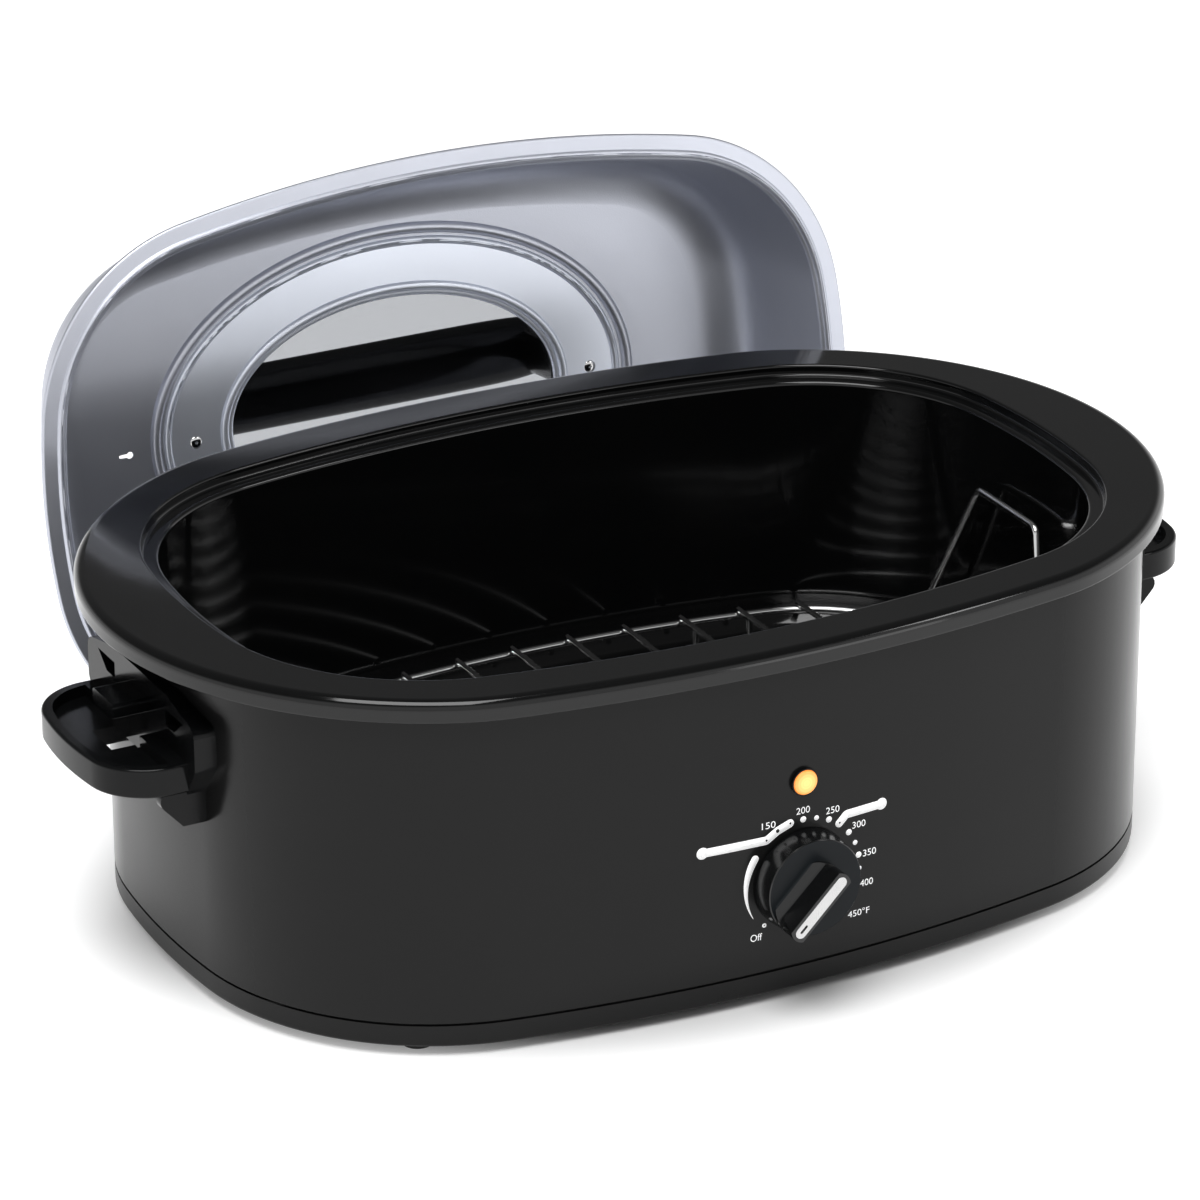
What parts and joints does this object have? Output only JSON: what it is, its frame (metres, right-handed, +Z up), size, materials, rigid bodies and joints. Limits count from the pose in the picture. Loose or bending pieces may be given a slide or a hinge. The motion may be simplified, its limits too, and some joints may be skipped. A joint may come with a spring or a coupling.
{
  "type": "electric roaster oven",
  "caption": "Oval countertop roaster oven with a lift-out enamel pan, a wire rack, a turning temperature knob and a lift-off domed lid with a glass window standing behind it.",
  "frame": {"origin": "on the counter, under the middle of the housing", "axes": "+X along the long side towards the end with the cord entry, -Y towards the controls, +Z up"},
  "size_m": [0.606, 0.564, 0.2994],
  "materials": {
    "shell_paint": "gloss",
    "base_paint": "satin",
    "foot_rubber": "matt",
    "zinc_steel": "satin",
    "well_steel": "satin",
    "element_band": "matt",
    "glass_wool": "matt",
    "shield_aluminium": "satin",
    "spacer_ceramic": "matt",
    "phenolic": "matt",
    "knob_black": "gloss",
    "knob_silver": "satin",
    "lamp_black": "gloss",
    "lamp_amber": "gloss",
    "lead_sleeve": "satin",
    "gland_black": "satin",
    "handle_black": "gloss",
    "pan_enamel": "gloss",
    "rack_chrome": "polished",
    "lid_steel": "satin",
    "lid_glass": "clear",
    "seal_rubber": "matt"
  },
  "bodies": {
    "housing": {"outer_shell": "shell_paint", "base_tray": "base_paint", "feet": "foot_rubber", "foot_screws": "zinc_steel", "corner_brackets": "zinc_steel", "heating_well": "well_steel", "heating_element": "element_band", "insulation_blanket": "glass_wool", "heat_shield": "shield_aluminium", "shield_spacers": "spacer_ceramic", "thermostat": "phenolic", "thermostat_plate": "zinc_steel", "thermostat_sensor": "shield_aluminium", "thermostat_screws": "zinc_steel", "lamp_bezel": "lamp_black", "lamp_lens": "lamp_amber", "lamp_clip": "zinc_steel", "cord_gland": "gland_black", "terminal_block": "spacer_ceramic", "internal_leads": "lead_sleeve", "left_handle": "handle_black", "right_handle": "handle_black", "handle_washers": "zinc_steel", "handle_screws": "zinc_steel"},
    "knob": {"knob": "knob_black", "knob_pointer": "knob_silver", "knob_shaft": "zinc_steel"},
    "pan": {"roasting_pan": "pan_enamel"},
    "rack": {"rack_frame": "rack_chrome", "rack_cross_wires": "rack_chrome", "rack_lift_loops": "rack_chrome", "rack_feet": "rack_chrome"},
    "lid": {"lid_dome": "lid_steel", "lid_window": "lid_glass", "window_seal": "seal_rubber", "lid_handle": "handle_black", "lid_handle_screws": "zinc_steel"}
  },
  "joints": [
    {"name": "knob_turn", "type": "hinge", "parent": "housing", "child": "knob", "pos_m": [0, -0.178, 0.0628], "axis": [0, 1, 0], "range_deg": [0, 268]},
    {"name": "pan_lift", "type": "slide", "parent": "housing", "child": "pan", "axis": [0, 0, 1], "range_m": [0, 0.16]},
    {"name": "rack_lift", "type": "slide", "parent": "pan", "child": "rack", "axis": [0, 0, 1], "range_m": [0, 0.16]},
    {"name": "lid_lift", "type": "slide", "parent": "housing", "child": "lid", "axis": [0, 0, 1], "range_m": [0, 0.3]}
  ]
}
